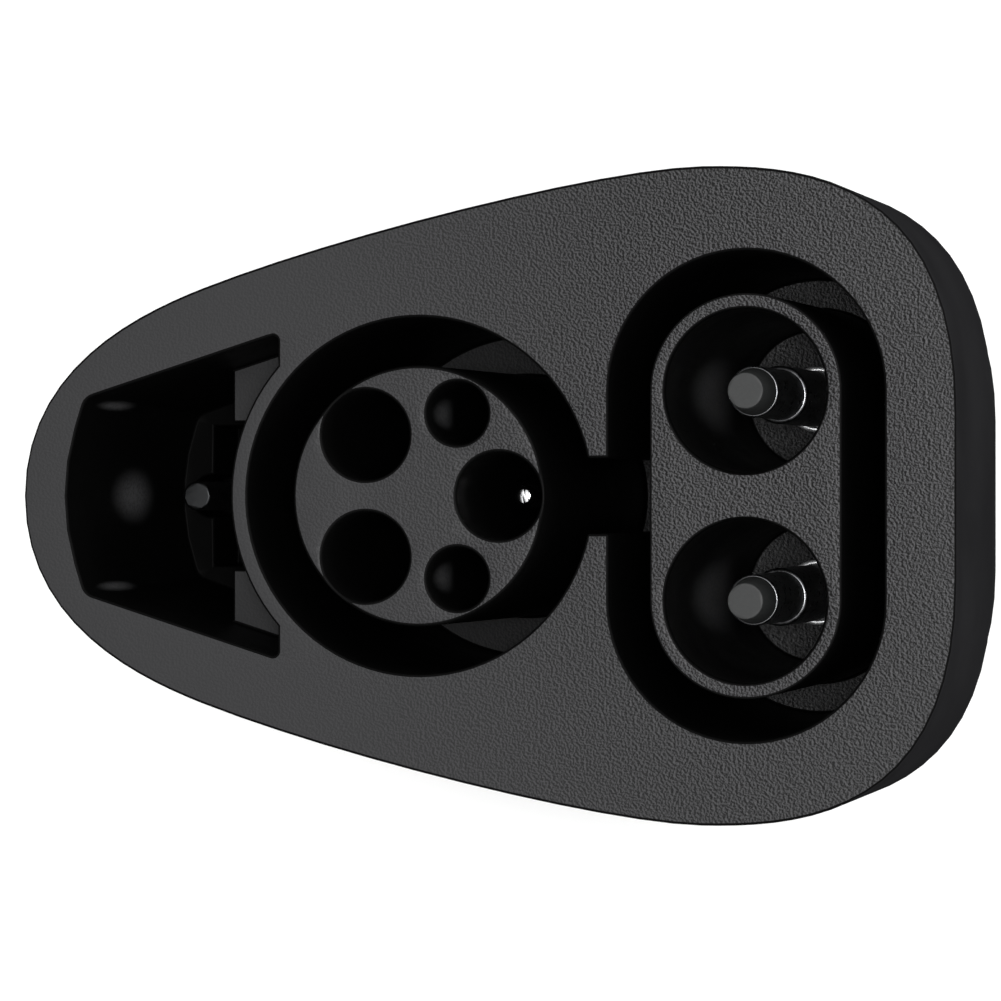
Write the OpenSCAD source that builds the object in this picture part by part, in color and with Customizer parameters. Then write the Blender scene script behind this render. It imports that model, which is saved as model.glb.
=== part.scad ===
// Hand-held DC charging adapter. A two-stage inlet (round five-hole well, two-pin DC channel and
// latch pocket) faces up, and a five-socket plug nose faces down and carries the adapter's weight.
// Depths are measured down from the inlet face. X runs from the latch end to the DC end.

/* [Casing outline] */
// Width of the face between the latch pocket and the latch end
latch_margin = 4.7; // [4.2:0.1:6]
// Width of the face between the DC channel and the DC end
dc_margin = 9.3; // [8.6:0.1:11]
// Width of the inlet face where it is widest
body_width = 84.8; // [83:0.2:92]
// Place of the widest point, from the middle of the length
wide_x = 30; // [28:0.5:32]
// Roundness of the latch end, as the reach of its curve
nose_reach = 17.2; // [15:0.2:19]
// Distance from the latch end to where the flank starts
flank_run = 25.3; // [23:0.1:28]
// Half width of the face at the start of the flank
flank_half = 27.6; // [26.5:0.1:29]
// Slope of the flank at its start
flank_slope = 0.36; // [0.3:0.01:0.42]
// Half length of the flat at the DC end
flat_half = 10.7; // [6:0.1:14]

/* [Casing depths] */
// Depth of the skirt of the front housing
skirt_depth = 32; // [28:0.5:36]
// Room behind the five-hole core for the circuit board and the sensors
bar_room = 5.9; // [5.6:0.1:7]
// Length of the plug nose behind the casing
nose_length = 38; // [35:0.5:44]

/* [Walls] */
// Thickness of the inlet face
face_t = 3; // [2.4:0.1:4]
// Thickness of the skirt
skirt_t = 3.2; // [2.8:0.1:3.6]
// Thickness of the rear shell
shell_t = 2; // [1.6:0.1:2.2]
// Thickness of the back plate that carries the nose
plate_t = 4; // [3.4:0.1:4.6]
// Thickness of the walls of the round well and the DC channel
tube_t = 2.1; // [1.6:0.1:2.4]
// Thickness of the floors of the wells
floor_t = 2.6; // [2:0.1:3]
// Thickness of the ribs behind the face
rib_t = 1.8; // [1.2:0.1:2.4]
// Step between the skirt and the rear shell
shell_step = 1.6; // [1.2:0.1:2]

/* [Round inlet] */
// Radius of the round well at its mouth
well_r = 23.4; // [23:0.1:23.8]
// Narrowing of the round well down to its floor
well_draft = 0.2; // [0:0.05:0.4]
// Depth of the round well
well_depth = 58; // [56:0.5:59]
// Radius of the five-hole core at its top
core_r = 17.1; // [16.8:0.1:17.3]
// Widening of the core down to the floor
core_draft = 0.2; // [0:0.05:0.3]
// Radius of the two line contact holes
line_hole_r = 5.95; // [5.6:0.05:6.2]
// Radius of the ground contact hole
ground_hole_r = 5.75; // [5.4:0.05:6]
// Radius of the two signal contact holes
signal_hole_r = 4.15; // [3.9:0.05:4.3]
// Depth of the contact holes
hole_depth = 50; // [46:0.5:53]
// Distance of the line holes' axes behind the core's axis
line_x = 7.1; // [6.9:0.1:7.4]
// Distance of the line holes' axes to each side
line_y = 8; // [7.8:0.1:8.2]
// Distance of the signal holes' axes ahead of the core's axis
signal_x = 5.4; // [5.1:0.1:5.6]
// Distance of the signal holes' axes to each side
signal_y = 10.8; // [10.6:0.1:11]
// Distance of the ground hole's axis ahead of the core's axis
ground_x = 11; // [10.8:0.1:11.2]

/* [DC inlet] */
// Distance from the round well's axis to the line of the DC pins
dc_pitch = 43.7; // [43.3:0.1:44]
// Distance of each DC pin from the middle line
dc_half = 13.5; // [13.2:0.1:13.7]
// Radius of the ends of the DC channel at its mouth
channel_r = 18; // [17.6:0.1:18.3]
// Narrowing of the DC channel down to its floor
channel_draft = 1; // [0.4:0.1:1.4]
// Depth of the DC channel
channel_depth = 52; // [50:0.5:54]
// Radius of the ends of the DC block
block_r = 12.55; // [12.2:0.05:12.8]
// Radius of the DC wells at their mouths
dc_well_r = 10.5; // [10.2:0.1:10.8]
// Narrowing of the DC wells down to their floors
dc_well_draft = 0.7; // [0.2:0.1:1]
// Depth of the DC wells
dc_well_depth = 50.5; // [48:0.5:51]
// Width of the key slot between the round well and the DC channel
slot_w = 9.8; // [8:0.2:12]
// Depth of the key slot
slot_depth = 50; // [40:1:51]

/* [Contact pins] */
// Radius of a DC pin where the plug grips it
dc_pin_r = 3.9; // [3.7:0.05:4.1]
// Radius of a DC pin's slimmer front part
dc_lead_r = 3.35; // [3.1:0.05:3.5]
// Depth of the shoulder between the two
dc_shoulder = 22.9; // [18:0.1:26]
// Depth of the front edge of a DC pin's metal
dc_lead_front = 5.4; // [4.5:0.1:7]
// Radius of the flat end of the touch guard cap
tip_r = 2.3; // [2:0.1:2.7]
// Radius of the bright ring at the foot of a DC pin
ring_r = 4.65; // [4.4:0.05:5]
// Radius of the ground pin
ground_pin_r = 1.5; // [1.2:0.1:2]
// Depth of the ground pin's tip
ground_tip = 13; // [10:0.5:18]
// Radius of a signal pin
signal_pin_r = 1.2; // [1:0.1:1.6]
// Depth of the signal pins' tips
signal_tip = 23; // [20:0.5:30]

/* [Latch pocket] */
// Web between the round well and the latch pocket
pocket_web = 2.4; // [2:0.1:2.8]
// Distance from the round axis to the pocket's far wall
pocket_far = 49.1; // [48.5:0.1:49.5]
// Half width of the pocket at its far corners
pocket_far_half = 13; // [12.4:0.1:13.4]
// Half width of the pocket at its near corners
pocket_near_half = 21.4; // [21:0.1:21.8]
// Depth of the pocket's floor
pocket_depth = 42; // [40:0.5:43]
// Narrowing of the pocket down to its floor
pocket_draft = 1.4; // [1:0.1:1.6]
// Depth of the two latch ledges
ledge_depth = 17; // [14:0.5:20]
// Distance from the round axis to the ledges' edges
ledge_far = 31.2; // [29.5:0.1:33]
// Half width of the gap between the ledges
ledge_gap = 10; // [9:0.1:11]
// How much deeper the well for the latch hook is
hook_well = 10; // [8:0.5:11]

/* [Lock pin] */
// Distance from the round axis to the lock pin
lock_x = 42.8; // [42.4:0.1:43]
// Radius of the lock pin
lock_r = 2.05; // [1.8:0.05:2.2]
// Depth of the lock pin's end at rest
lock_front = 35.5; // [34:0.5:38]
// Travel of the lock pin towards the face
lock_travel = 8; // [5:0.5:9]
// Running gap round the lock pin
lock_gap = 0.05; // [0.02:0.01:0.1]
// Radius of the wire of the lock spring
wire_r = 0.4; // [0.3:0.02:0.45]
// Turns of the lock spring
spring_turns = 7; // [5:1:9]

/* [Plug nose] */
// Place of the nose's middle, from the round axis
nose_x = 22; // [21:0.5:23]
// Half length of the nose along X
nose_half_x = 17; // [16.5:0.1:18]
// Half width of the nose's broad side
nose_broad = 21.5; // [20.5:0.1:22]
// Half width of the nose's narrow side
nose_narrow = 12.5; // [12:0.1:14]
// Half distance between the power sockets
power_half = 10.5; // [10:0.1:10.8]
// Distance of the power sockets behind the nose's middle
power_back = 5.5; // [5:0.1:6.5]
// Bore radius of a power socket
power_bore_r = 4.5; // [4:0.1:4.6]
// Distance of the ground socket ahead of the nose's middle
ground_ahead = 6; // [5:0.1:6.5]
// Bore radius of the ground socket
ground_bore_r = 2.75; // [2.4:0.05:2.9]
// Distance of the signal sockets ahead of the nose's middle
signal_ahead = 12; // [11.6:0.1:12.4]
// Half distance between the signal sockets
signal_half = 5.6; // [5.4:0.1:5.8]
// Bore radius of a signal socket
signal_bore_r = 1.2; // [1:0.05:1.3]
// How far the sockets sit back from the nose's end
socket_recess = 4; // [3:0.5:6]
// Wall of the contact sockets
socket_wall = 1.3; // [1:0.1:1.4]

/* [Inner parts] */
// Thickness of the busbars
bar_t = 3; // [2.4:0.1:3]
// Width of the DC busbars
bar_w = 9; // [7.5:0.5:9.5]
// Thickness of the circuit board
board_t = 1.6; // [1:0.1:1.8]
// Thickness of the gaskets
gasket_t = 1; // [0.8:0.1:1.2]
// Radius of the casing screws' shanks
screw_r = 1.5; // [1.3:0.05:1.6]
// Depth of the wells in the back for the casing screws' heads
screw_well = 21; // [19:0.5:24]

/* [Hidden] */
$fn = 96;
eps = 0.01;
shell_front = skirt_depth + gasket_t;
gasket_inset = skirt_t - 0.6;
// Gap between pieces that stand fixed in one another
seat_gap = 0.05;
// Step down in radius where a contact pin's shaft enters its insulator
pin_step = 0.2;
// Bare length of the stepped foot that shows above the floor or ring
foot_show = 0.4;
// Thickness of the bright ring at a DC pin's foot
ring_t = 0.6;
// How far the middle of the pocket's far wall bulges
pocket_bulge = 1.2;
pocket_reach = pocket_far + pocket_bulge;
body_length = latch_margin + pocket_reach + dc_pitch + channel_r + dc_margin;
round_x = latch_margin + pocket_reach - body_length / 2;
dc_x = round_x + dc_pitch;
// Lengths of the curve handles of the outline
flank_back = 9.2;
flank_ahead = 18.7;
wide_back = 13.1;
wide_ahead = 13;
corner_reach = 30;
nose_curve_r = 23.3;
corner_curve_r = 27;
// The two insulators' flanges lie behind the floors of their wells
flange_t = 3;
core_back = well_depth + floor_t + flange_t;
block_back = channel_depth + floor_t + flange_t;
core_flange_r = core_r + core_draft + 3.2;
block_flange_r = block_r + 2.9;
pocket_r = well_r + pocket_web;
pocket_back = pocket_depth + hook_well + floor_t;
pocket_wall = 1.4;
// Gap between the front housing and the rear shell's inner faces
relief = 0.7;
near_x = 19.2;
bar_depth = core_back + bar_room;
bar_back = bar_depth + bar_t;
// The nose's flange lies between the busbars and the back plate
nose_flange_t = 3.4;
flange_front = bar_back + 1.1;
flange_back = flange_front + nose_flange_t;
flange_lip = 3;
plate_front = flange_back + gasket_t;
casing_depth = plate_front + plate_t;
total_h = casing_depth + nose_length;
socket_end = total_h - socket_recess;
screw_seat = casing_depth - screw_well;
shell_middle = shell_front + 0.55 * (casing_depth - shell_front);
shell_low = casing_depth - 8;
// The casing screws go into two posts behind the face and into the pocket's two ledges
post_x = 16;
post_y = 28.5;
ledge_screw_x = 26.5;
ledge_screw_y = 15.5;
post_r = 3.3;
column_r = 3.7;
head_r = 2.5;
head_t = 2.2;
screw_hold = 12;
rib_places = [-21, post_x, 50];
// Lock pin fittings
guide_r = 3.45;
groove_r = 3;
guide_front = pocket_depth + hook_well + 0.4;
guide_flange_r = 4.3;
guide_flange_t = 1.8;
guide_back = pocket_back + guide_flange_t;
clip_front = guide_back + lock_travel + 7.4;
clip_t = 1;
clip_r = 3.7;
clip_bite = 0.5;
spring_r = 2.85;
lock_boss_r = 4.7;
lock_boss_front = clip_front + clip_t + 0.1;
lock_end = casing_depth + lock_travel;
// Busbar screws
bar_screw_r = 2;
bar_head_r = 3.6;
bar_head_t = 2.2;
tapped_depth = 8;
bar_holes_r = bar_screw_r + 0.15;
bar_corner_r = 3;
ground_bar_w = 7.6;
// Sensors on the busbars: place of each from the round axis, and size
sensor_x = 27;
sensor_y = 8.2;
sensor = [3.6, 3.2, 2.2];
signal_bore_depth = 16;
tail_r = 4;

// Extrudes a flat shape between two depths
module slab(from, to) translate([0, 0, total_h - to]) linear_extrude(to - from) children();

// A round solid between two depths, with a radius at each
module rod(from, to, r_from, r_to = undef)
    translate([0, 0, total_h - to])
        cylinder(h = to - from, r1 = is_undef(r_to) ? r_from : r_to, r2 = r_from);

// A ring between two depths
module ring(from, to, r_out, r_in) difference() {
    rod(from, to, r_out);
    rod(from - 1, to + 1, r_in);
}

// A hole from the face, with draft and a broken edge at its mouth
module blind_hole(depth, r_mouth, r_floor, edge = 0.4) {
    rod(-eps, depth, r_mouth, r_floor);
    rod(-eps, edge, r_mouth + edge, r_mouth);
}

module both_sides(y) for (side = [-1, 1]) translate([0, side * y, 0]) children();

function bezier(a, b, c, d, t) =
    pow(1 - t, 3) * a + 3 * pow(1 - t, 2) * t * b + 3 * (1 - t) * t * t * c + pow(t, 3) * d;

// Upper half of the casing's outline, moved inwards by inset
function half_outline(inset) =
    let (
        lean = atan(flank_slope),
        nose = [-body_length / 2 + inset, 0],
        flank = [-body_length / 2 + flank_run + inset * sin(lean), flank_half - inset * cos(lean)],
        along = [1, flank_slope],
        wide = [wide_x, body_width / 2 - inset],
        end = [body_length / 2 - inset, flat_half],
        nose_k = 1 - inset / nose_curve_r,
        corner_k = 1 - inset / corner_curve_r
    )
    concat(
        [for (i = [0:13]) bezier(nose, nose + [0, nose_reach * nose_k],
            flank - flank_back * nose_k * along, flank, i / 14)],
        [for (i = [0:11]) bezier(flank, flank + flank_ahead * along,
            wide - [wide_back, 0], wide, i / 12)],
        [for (i = [0:18]) bezier(wide, wide + [wide_ahead * corner_k, 0],
            end + [0, corner_reach * corner_k], end, i / 18)]
    );

module casing_outline(inset = 0) {
    half = half_outline(inset);
    last = len(half) - 1;
    polygon(concat(half, [for (i = [last:-1:1]) [half[i][0], -half[i][1]]]));
}

// Points of a polygon whose corners, each [x, y, radius], are rounded
function rounded(corners, step = 9) = [
    for (i = [0:len(corners) - 1])
        let (
            n = len(corners),
            p = corners[i],
            here = [p[0], p[1]],
            before = [corners[(i + n - 1) % n][0], corners[(i + n - 1) % n][1]] - here,
            after = [corners[(i + 1) % n][0], corners[(i + 1) % n][1]] - here,
            u = before / norm(before),
            v = after / norm(after),
            half_angle = acos(max(-1, min(1, u * v))) / 2,
            middle = (u + v) / norm(u + v),
            centre = here + middle * p[2] / sin(half_angle),
            sweep = 180 - 2 * half_angle,
            turn = sign(u[0] * v[1] - u[1] * v[0]),
            start = atan2(-middle[1], -middle[0]) + turn * sweep / 2,
            count = max(1, ceil(sweep / step))
        )
        for (k = [0:count])
            let (angle = start - turn * sweep * k / count)
            centre + p[2] * [cos(angle), sin(angle)]
];

module stadium(r) {
    both_sides(dc_half) circle(r);
    square([2 * r, 2 * dc_half], center = true);
}

module post_axes() both_sides(post_y) translate([post_x, 0, 0]) children();
module ledge_axes() both_sides(ledge_screw_y) translate([round_x - ledge_screw_x, 0, 0]) children();

// Outline of the latch pocket before the round well cuts into it
module pocket_sheet(grow = 0) polygon(rounded([
    [-near_x + grow, pocket_near_half + grow, 0.7],
    [-pocket_far + 2.9 - grow, pocket_far_half + grow, 2 + max(0, grow)],
    [-pocket_reach - grow, 0, 30],
    [-pocket_far + 2.9 - grow, -pocket_far_half - grow, 2 + max(0, grow)],
    [-near_x + grow, -pocket_near_half - grow, 0.7]
]));

// Walls of the latch pocket, clear of the rear shell behind the skirt
module pocket_block() {
    slab(0, skirt_depth) pocket_sheet(pocket_wall);
    slab(skirt_depth - eps, pocket_back) intersection() {
        pocket_sheet(pocket_wall);
        translate([-round_x, 0]) casing_outline(shell_step + shell_t + relief);
    }
}

// Body of the front housing before its hollows are taken out
module housing_mass() {
    slab(0, face_t) casing_outline();
    slab(0, skirt_depth) difference() {
        casing_outline();
        casing_outline(skirt_t);
    }
    slab(0, skirt_depth - 10) intersection() {
        casing_outline(skirt_t / 2);
        for (x = rib_places) translate([x - rib_t / 2, -body_width / 2]) square([rib_t, body_width]);
    }
    post_axes() rod(1, skirt_depth, post_r);
    translate([round_x, 0, 0]) {
        rod(0, well_depth + floor_t, well_r + tube_t);
        pocket_block();
    }
    translate([dc_x, 0, 0]) slab(0, channel_depth + floor_t) stadium(channel_r + tube_t);
}

// The latch pocket: its shaft, ledges, floor, hook well, and the groove and hole of the lock pin
module pocket_space() {
    difference() {
        union() {
            hull() {
                slab(-eps, 0) pocket_sheet();
                slab(pocket_depth - eps, pocket_depth) pocket_sheet(-pocket_draft);
            }
            slab(pocket_depth - 1, pocket_depth + hook_well) {
                translate([-lock_x + 0.4, -ledge_gap]) square([20, 2 * ledge_gap]);
                translate([-lock_x, 0]) circle(groove_r, $fn = 48);
            }
        }
        rod(-1, pocket_back, pocket_r);
        slab(ledge_depth, pocket_back)
            both_sides(ledge_gap + 10) translate([-ledge_far + 10, 0]) square(20, center = true);
    }
    translate([-lock_x, 0, 0]) {
        rod(pocket_depth, guide_front + eps, lock_r + 0.4);
        rod(guide_front, pocket_back + 1, guide_r + seat_gap);
    }
}

module inlet_housing() color("#2b2b2c") difference() {
    housing_mass();
    translate([round_x, 0, 0]) {
        rod(-1, well_depth, well_r, well_r - well_draft);
        rod(well_depth - 1, well_depth + floor_t + 1, core_r + core_draft + seat_gap);
        pocket_space();
    }
    translate([dc_x, 0, 0]) {
        hull() {
            slab(-eps, 0) stadium(channel_r, $fn = 64);
            slab(channel_depth - eps, channel_depth) stadium(channel_r - channel_draft, $fn = 64);
        }
        slab(channel_depth - 1, channel_depth + floor_t + 1) stadium(block_r + seat_gap);
    }
    slab(-1, slot_depth)
        translate([round_x + core_r + 2.4, -slot_w / 2])
            square([dc_pitch - core_r - block_r - 4.8, slot_w]);
    post_axes() rod(skirt_depth - screw_hold - 1, skirt_depth + 1, screw_r + seat_gap);
    ledge_axes() rod(pocket_back - screw_hold - 1, pocket_back + 1, screw_r + seat_gap);
}

// Places of the core's five holes, from its axis
module line_axes() both_sides(line_y) translate([-line_x, 0, 0]) children();
module signal_axes() both_sides(signal_y) translate([signal_x, 0, 0]) children();

module round_insulator() color("#2f2f30") translate([round_x, 0, 0]) difference() {
    union() {
        rod(0.4, well_depth + floor_t + eps, core_r, core_r + core_draft);
        rod(0, 0.4, core_r - 0.4, core_r);
        rod(well_depth + floor_t, core_back, core_flange_r);
    }
    line_axes() blind_hole(hole_depth, line_hole_r, line_hole_r - 0.2);
    signal_axes() {
        blind_hole(hole_depth, signal_hole_r, signal_hole_r - 0.2);
        rod(hole_depth - 1, core_back + 1, signal_pin_r + seat_gap);
        rod(core_back - 5 - seat_gap, core_back + 1, signal_pin_r + 1 + seat_gap);
    }
    translate([ground_x, 0, 0]) {
        blind_hole(hole_depth, ground_hole_r, ground_hole_r - 0.2);
        rod(hole_depth - 1, core_back + 1, ground_pin_r - pin_step + seat_gap);
        rod(core_back - 6 - seat_gap, core_back + 1, ground_pin_r + 1.2 + seat_gap);
    }
}

module dc_insulator() color("#2f2f30") translate([dc_x, 0, 0]) difference() {
    union() {
        slab(0, channel_depth + floor_t + eps) stadium(block_r);
        slab(channel_depth + floor_t, block_back) stadium(block_flange_r);
    }
    both_sides(dc_half) {
        blind_hole(dc_well_depth, dc_well_r, dc_well_r - dc_well_draft);
        rod(dc_well_depth - 1, block_back + 1, dc_pin_r - pin_step + seat_gap);
    }
}

// One DC contact pin on its own axis
module dc_pin() difference() {
    union() {
        rod(dc_lead_front, dc_lead_front + 0.3, dc_lead_r - 0.2, dc_lead_r);
        rod(dc_lead_front + 0.3, dc_shoulder, dc_lead_r);
        rod(dc_shoulder - eps, dc_shoulder + 0.3, dc_pin_r - 0.3, dc_pin_r);
        rod(dc_shoulder + 0.3, dc_well_depth - ring_t - foot_show, dc_pin_r);
        rod(dc_shoulder + 0.3, block_back, dc_pin_r - pin_step);
        rod(block_back, block_back + 3, tail_r + 2);
        rod(block_back + 3 - eps, bar_depth, tail_r);
    }
    rod(dc_lead_front - 1, dc_lead_front + 8, 1.85);
    rod(bar_depth - tapped_depth, bar_depth + 1, bar_screw_r + seat_gap);
}

module dc_tip() {
    rod(0.1, dc_lead_front, tip_r, dc_lead_r - 0.25);
    rod(dc_lead_front - eps, dc_lead_front + 7, 1.8);
}

module dc_pin_positive() color("#b9bbbd") translate([dc_x, -dc_half, 0]) dc_pin();
module dc_pin_negative() color("#b9bbbd") translate([dc_x, dc_half, 0]) dc_pin();
module dc_tip_positive() color("#6f7072") translate([dc_x, -dc_half, 0]) dc_tip();
module dc_tip_negative() color("#6f7072") translate([dc_x, dc_half, 0]) dc_tip();

module pin_rings() color("#d4d6d8") translate([dc_x, 0, 0]) both_sides(dc_half)
    ring(dc_well_depth - ring_t, dc_well_depth, ring_r, dc_pin_r - pin_step + seat_gap);

module ground_pin() color("#c8cacc") translate([round_x + ground_x, 0, 0]) {
    rod(ground_tip, ground_tip + 0.7, 0.9, ground_pin_r);
    rod(ground_tip + 0.7, hole_depth - foot_show, ground_pin_r);
    rod(ground_tip + 0.7, core_back - 6, ground_pin_r - pin_step);
    rod(core_back - 6, core_back, ground_pin_r + 1.2);
    rod(core_back - eps, bar_depth, ground_pin_r + 0.7);
    rod(bar_depth - eps, bar_back, ground_pin_r + 0.2);
}

// One signal pin on its own axis, with a rounded end
module signal_pin() {
    translate([0, 0, total_h - signal_tip - signal_pin_r]) sphere(signal_pin_r, $fn = 32);
    rod(signal_tip + signal_pin_r, core_back - 5, signal_pin_r);
    rod(core_back - 5, core_back, signal_pin_r + 1);
    rod(core_back - eps, core_back + board_t + 0.6, 0.8);
}

module pilot_pin() color("#c8cacc") translate([round_x + signal_x, -signal_y, 0]) signal_pin();
module proximity_pin() color("#c8cacc") translate([round_x + signal_x, signal_y, 0]) signal_pin();

module lock_guide() color("#1d1d1e") translate([round_x - lock_x, 0, 0]) difference() {
    union() {
        rod(guide_front, pocket_back + eps, guide_r);
        rod(pocket_back, guide_back, guide_flange_r);
    }
    rod(guide_front - 1, guide_back + 1, lock_r + lock_gap);
}

module lock_pin() color("#8d8f91") translate([round_x - lock_x, 0, 0]) difference() {
    union() {
        rod(lock_front, lock_front + 0.3, lock_r - 0.3, lock_r);
        rod(lock_front + 0.3, lock_end - 0.5, lock_r);
        rod(lock_end - 0.5, lock_end, lock_r, lock_r - 0.5);
    }
    ring(clip_front - seat_gap, clip_front + clip_t + seat_gap, lock_r + 1, lock_r - clip_bite);
}

module lock_clip() color("#9a9c9e") translate([round_x - lock_x, 0, 0])
    ring(clip_front, clip_front + clip_t, clip_r, lock_r - clip_bite + seat_gap);

// A coil of wire about the vertical axis, with its last turns closed
module coil(from, to, r, wire, turns, per_turn = 16, sides = 6) {
    steps = turns * per_turn;
    length = to - from - 2 * wire;
    closed = 2.2 * wire / length;
    rise = function (t) t < 1 / turns ? closed * t * turns
        : t > 1 - 1 / turns ? 1 - closed * (1 - t) * turns
        : closed + (1 - 2 * closed) * (t - 1 / turns) / (1 - 2 / turns);
    points = [for (i = [0:steps], k = [0:sides - 1])
        let (
            turn = 360 * i / per_turn,
            around = 360 * k / sides,
            out = r + wire * cos(around),
            up = total_h - from - wire - length * rise(i / steps) + wire * sin(around)
        )
        [out * cos(turn), out * sin(turn), up]];
    walls = [for (i = [0:steps - 1], k = [0:sides - 1])
        let (a = i * sides + k, b = i * sides + (k + 1) % sides)
        [a, b, b + sides, a + sides]];
    polyhedron(points, concat(
        [[for (k = [sides - 1:-1:0]) k]],
        walls,
        [[for (k = [0:sides - 1]) steps * sides + k]]
    ));
}

module lock_spring() color("#a9abad") translate([round_x - lock_x, 0, 0])
    coil(guide_back + seat_gap, clip_front - seat_gap, spring_r, wire_r, spring_turns);

// A flat bar with rounded corners that reaches round two points
module bar_shape(a, b, w) {
    run = b - a;
    half = w / 2;
    far = norm(run) + half;
    translate(a) rotate(atan2(run[1], run[0])) polygon(rounded([
        [-half, -half, bar_corner_r],
        [-half, half, bar_corner_r],
        [far, half, bar_corner_r],
        [far, -half, bar_corner_r]
    ]));
}

module dc_bar(side) {
    socket = [round_x + nose_x - power_back, side * power_half];
    pin = [dc_x, side * dc_half];
    difference() {
        slab(bar_depth, bar_back) bar_shape(socket, pin, bar_w);
        for (p = [socket, pin]) translate(p) rod(bar_depth - 1, bar_back + 1, bar_holes_r);
    }
}

module busbar_positive() color("#b4793f") dc_bar(-1);
module busbar_negative() color("#b4793f") dc_bar(1);

module ground_bar() color("#b4793f") {
    pin = [round_x + ground_x, 0];
    socket = [round_x + nose_x + ground_ahead, 0];
    difference() {
        slab(bar_depth, bar_back) bar_shape(pin, socket, ground_bar_w);
        translate(pin) rod(bar_depth - 1, bar_back + 1, ground_pin_r + 0.2 + seat_gap);
        translate(socket) rod(bar_depth - 1, bar_back + 1, bar_holes_r);
    }
}

// A screw whose head lies in front of the busbars, into a socket
module front_bar_screw() {
    difference() {
        rod(bar_depth - bar_head_t, bar_depth, bar_head_r);
        slab(bar_depth - bar_head_t - 1, bar_depth - bar_head_t + 1.2) circle(1.5, $fn = 6);
    }
    rod(bar_depth - eps, bar_back + tapped_depth - 1, bar_screw_r);
}

// A screw whose head lies behind the busbars, into a pin
module rear_bar_screw() {
    difference() {
        rod(bar_back, bar_back + bar_head_t, bar_head_r);
        slab(bar_back + bar_head_t - 1.2, bar_back + bar_head_t + 1) circle(1.5, $fn = 6);
    }
    rod(bar_depth - tapped_depth + 1, bar_back + eps, bar_screw_r);
}

module busbar_screws() color("#9fa1a3") {
    both_sides(power_half) translate([round_x + nose_x - power_back, 0, 0]) front_bar_screw();
    translate([round_x + nose_x + ground_ahead, 0, 0]) front_bar_screw();
    both_sides(dc_half) translate([dc_x, 0, 0]) rear_bar_screw();
}

module circuit_board() color("#1f4a33") translate([round_x, 0, 0]) {
    signal_socket_x = nose_x + signal_ahead;
    difference() {
        slab(core_back, core_back + board_t)
            polygon(rounded([[-3, -14.5, 3], [-3, 14.5, 3], [38.5, 9.5, 3], [38.5, -9.5, 3]]));
        signal_axes() rod(core_back - 1, core_back + board_t + 1, 0.8 + seat_gap);
        translate([ground_x, 0, 0])
            rod(core_back - 1, core_back + board_t + 1, ground_pin_r + 0.7 + 0.3);
        both_sides(signal_half) translate([signal_socket_x, 0, 0])
            rod(core_back - 1, core_back + board_t + 1, 0.7 + seat_gap);
    }
    for (chip = [[0, -3, 6, 5], [20, -3.5, 8, 7], [1, 5, 3, 2]])
        slab(core_back + board_t - eps, core_back + board_t + 1.1)
            translate([chip[0], chip[1]]) square([chip[2], chip[3]]);
}

// Two sensors lie on the DC busbars, with their legs in the board
module temperature_sensors() color("#27282a") {
    board_back = core_back + board_t;
    both_sides(sensor_y) translate([round_x + sensor_x, 0, 0]) {
        slab(bar_depth - sensor[2], bar_depth) square([sensor[0], sensor[1]], center = true);
        for (leg = [-1, 1]) translate([leg, 0, 0])
            rod(board_back, bar_depth - sensor[2] + eps, 0.3);
    }
}

// A contact socket: a slotted tube with a shoulder at its inner end
module contact_socket(bore_r, bore_length, shoulder, slots) difference() {
    union() {
        rod(flange_front, socket_end, bore_r + socket_wall);
        rod(bar_back, flange_front, bore_r + socket_wall + shoulder);
    }
    rod(socket_end - bore_length, socket_end + 1, bore_r);
    for (turn = [0:180 / slots:179]) rotate(turn)
        slab(socket_end - bore_length * 0.6, socket_end + 1)
            square([3 * bore_r, 0.8], center = true);
}

module power_socket() difference() {
    contact_socket(power_bore_r, 30, 1.2, 2);
    rod(bar_back - 1, bar_back + tapped_depth, bar_screw_r + seat_gap);
}

module dc_socket_positive() color("#c3b27a")
    translate([round_x + nose_x - power_back, -power_half, 0]) power_socket();
module dc_socket_negative() color("#c3b27a")
    translate([round_x + nose_x - power_back, power_half, 0]) power_socket();

module ground_socket() color("#c3b27a")
    translate([round_x + nose_x + ground_ahead, 0, 0]) difference() {
        contact_socket(ground_bore_r, 26, 0.8, 2);
        rod(bar_back - 1, bar_back + tapped_depth, bar_screw_r + seat_gap);
    }

// A signal socket has a thin tail that reaches the circuit board
module signal_socket() difference() {
    union() {
        rod(flange_front, socket_end, signal_bore_r + 0.7);
        rod(flange_front - 1, flange_front, signal_bore_r + 1.2);
        rod(core_back, flange_front - 1 + eps, 0.7);
    }
    rod(socket_end - signal_bore_depth, socket_end + 1, signal_bore_r);
}

module pilot_socket() color("#c3b27a")
    translate([round_x + nose_x + signal_ahead, -signal_half, 0]) signal_socket();
module proximity_socket() color("#c3b27a")
    translate([round_x + nose_x + signal_ahead, signal_half, 0]) signal_socket();

// Outline of the plug nose, grown outwards
module nose_outline(grow = 0) translate([round_x + nose_x, 0]) polygon(rounded([
    [-nose_half_x - grow, -nose_broad - grow, 9 + grow],
    [-nose_half_x - grow, nose_broad + grow, 9 + grow],
    [nose_half_x + grow, nose_narrow + grow, 10 + grow],
    [nose_half_x + grow, -nose_narrow - grow, 10 + grow]
]));

// The nose's fixing screws, in lugs round its flange
module nose_screw_axes() translate([round_x + nose_x, 0, 0]) {
    both_sides(nose_broad + 0.4) translate([-6, 0, 0]) children();
    for (end = [-1, 1]) translate([end * (nose_half_x + 2.6), 0, 0]) children();
}

// The nose's flange or its gasket, with a lug for each screw
module flange_plate(from, to) {
    slab(from, to) nose_outline(flange_lip);
    nose_screw_axes() rod(from, to, 4);
}

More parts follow.
